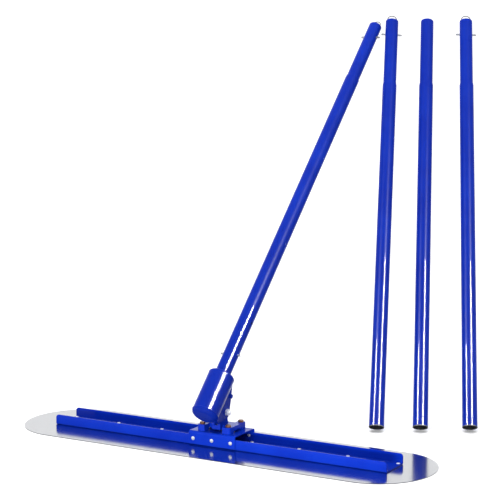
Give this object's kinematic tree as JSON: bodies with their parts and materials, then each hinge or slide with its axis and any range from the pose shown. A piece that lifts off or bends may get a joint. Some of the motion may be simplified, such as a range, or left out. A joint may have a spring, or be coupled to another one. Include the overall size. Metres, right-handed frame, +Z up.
{
  "type": "bull float with geared tilt handle",
  "caption": "Long-handled concrete float: round-ended steel blade with channel stiffener, worm-geared tilting bracket and plug-together tubular handle sections with spring-clip pins.",
  "frame": {"origin": "centre of the blade's underside", "axes": "+X along the blade, +Y towards the user (the way the handle leans), +Z up"},
  "size_m": [1.22, 1.2261, 1.1217],
  "materials": {
    "blue_paint": "gloss",
    "blade_steel": "mirror polished",
    "zinc": "bright zinc",
    "bolt_bronze": "yellow-brown passivated",
    "machined_steel": "machined",
    "bush_bronze": "plain bearing bronze",
    "spring_wire": "drawn wire"
  },
  "bodies": {
    "float": {"blade": "blade_steel", "stiffener_channel": "blue_paint", "bridge": "blue_paint", "blade_rivet_1": "zinc", "blade_rivet_2": "zinc", "blade_rivet_3": "zinc", "blade_rivet_4": "zinc", "blade_rivet_5": "zinc", "blade_rivet_6": "zinc", "blade_rivet_7": "zinc", "blade_rivet_8": "zinc", "blade_rivet_9": "zinc", "blade_rivet_10": "zinc", "blade_rivet_11": "zinc", "blade_rivet_12": "zinc", "blade_rivet_13": "zinc", "blade_rivet_14": "zinc", "blade_rivet_15": "zinc", "blade_rivet_16": "zinc", "bridge_rivet_1": "zinc", "bridge_rivet_2": "zinc", "bridge_rivet_3": "zinc", "bridge_rivet_4": "zinc", "bridge_rivet_5": "zinc", "bridge_rivet_6": "zinc", "base_bracket": "blue_paint", "toothed_sector": "machined_steel", "base_bolt_1": "bolt_bronze", "base_bolt_2": "bolt_bronze", "base_bolt_3": "bolt_bronze", "base_bolt_4": "bolt_bronze", "base_nut_1": "zinc", "base_nut_2": "zinc", "base_nut_3": "zinc", "base_nut_4": "zinc", "pivot_bolt": "zinc", "pivot_nut": "zinc"},
    "tilt_head": {"gear_housing": "blue_paint", "housing_bottom_cap": "blue_paint", "housing_top_cap": "blue_paint", "lower_bush": "bush_bronze", "upper_bush": "bush_bronze", "cheek_screw": "zinc"},
    "handle": {"worm_shaft": "machined_steel", "stub_clip_wire": "spring_wire", "handle_section_1": "blue_paint", "section_1_clip_wire": "spring_wire"},
    "stub_pin_right": {"stub_pin_right": "zinc"},
    "stub_pin_left": {"stub_pin_left": "zinc"},
    "section_1_pin_right": {"section_1_pin_right": "zinc"},
    "section_1_pin_left": {"section_1_pin_left": "zinc"},
    "section_2_pin_right": {"section_2_pin_right": "zinc"},
    "section_2_pin_left": {"section_2_pin_left": "zinc"},
    "section_4_pin_right": {"section_4_pin_right": "zinc"},
    "section_4_pin_left": {"section_4_pin_left": "zinc"},
    "loose_section_2": {"handle_section_2": "blue_paint", "section_2_clip_wire": "spring_wire"},
    "loose_section_3": {"handle_section_3": "blue_paint"},
    "loose_section_4": {"handle_section_4": "blue_paint", "section_4_clip_wire": "spring_wire"}
  },
  "joints": [
    {"name": "head_tilt", "type": "hinge", "parent": "float", "child": "tilt_head", "pos_m": [0, -0.01, 0.09], "axis": [1, 0, 0], "range_deg": [-25, 30]},
    {"name": "worm_spin", "type": "hinge", "parent": "tilt_head", "child": "handle", "pos_m": [0, -0.0522, 0.13265], "axis": [0, 0.7108, 0.7034], "range_deg": [-910, 760]},
    {"name": "lift_section_2", "type": "slide", "parent": "float", "child": "loose_section_2", "axis": [-0.1987, 0.4796, 0.8547], "range_m": [0, 0.25]},
    {"name": "lift_section_3", "type": "slide", "parent": "float", "child": "loose_section_3", "axis": [-0.2086, 0.4754, 0.8547], "range_m": [0, 0.25]},
    {"name": "lift_section_4", "type": "slide", "parent": "float", "child": "loose_section_4", "axis": [-0.2216, 0.4694, 0.8547], "range_m": [0, 0.25]},
    {"name": "stub_press_right", "type": "slide", "parent": "handle", "child": "stub_pin_right", "axis": [-1, 0, 0], "range_m": [0, 0.0117], "stiffness_N_per_m": 300, "deforming": ["stub_clip_wire"]},
    {"name": "stub_press_left", "type": "slide", "parent": "handle", "child": "stub_pin_left", "axis": [1, 0, 0], "range_m": [0, 0.0117]},
    {"name": "section_1_press_right", "type": "slide", "parent": "handle", "child": "section_1_pin_right", "axis": [-1, 0, 0], "range_m": [0, 0.0117], "stiffness_N_per_m": 300, "deforming": ["section_1_clip_wire"]},
    {"name": "section_1_press_left", "type": "slide", "parent": "handle", "child": "section_1_pin_left", "axis": [1, 0, 0], "range_m": [0, 0.0117]},
    {"name": "section_2_press_right", "type": "slide", "parent": "loose_section_2", "child": "section_2_pin_right", "axis": [-0.8822, -0.4673, 0.0571], "range_m": [0, 0.0117], "stiffness_N_per_m": 300, "deforming": ["section_2_clip_wire"]},
    {"name": "section_2_press_left", "type": "slide", "parent": "loose_section_2", "child": "section_2_pin_left", "axis": [0.8822, 0.4673, -0.0571], "range_m": [0, 0.0117]},
    {"name": "section_4_press_right", "type": "slide", "parent": "loose_section_4", "child": "section_4_pin_right", "axis": [-0.877, -0.4791, 0.0357], "range_m": [0, 0.0117], "stiffness_N_per_m": 300, "deforming": ["section_4_clip_wire"]},
    {"name": "section_4_press_left", "type": "slide", "parent": "loose_section_4", "child": "section_4_pin_left", "axis": [0.877, 0.4791, -0.0357], "range_m": [0, 0.0117]}
  ],
  "couplings": [
    {"joint": "worm_spin", "follows": "head_tilt", "ratio": -30},
    {"joint": "stub_press_left", "follows": "stub_press_right", "ratio": 1},
    {"joint": "section_1_press_left", "follows": "section_1_press_right", "ratio": 1},
    {"joint": "section_2_press_left", "follows": "section_2_press_right", "ratio": 1},
    {"joint": "section_4_press_left", "follows": "section_4_press_right", "ratio": 1}
  ]
}
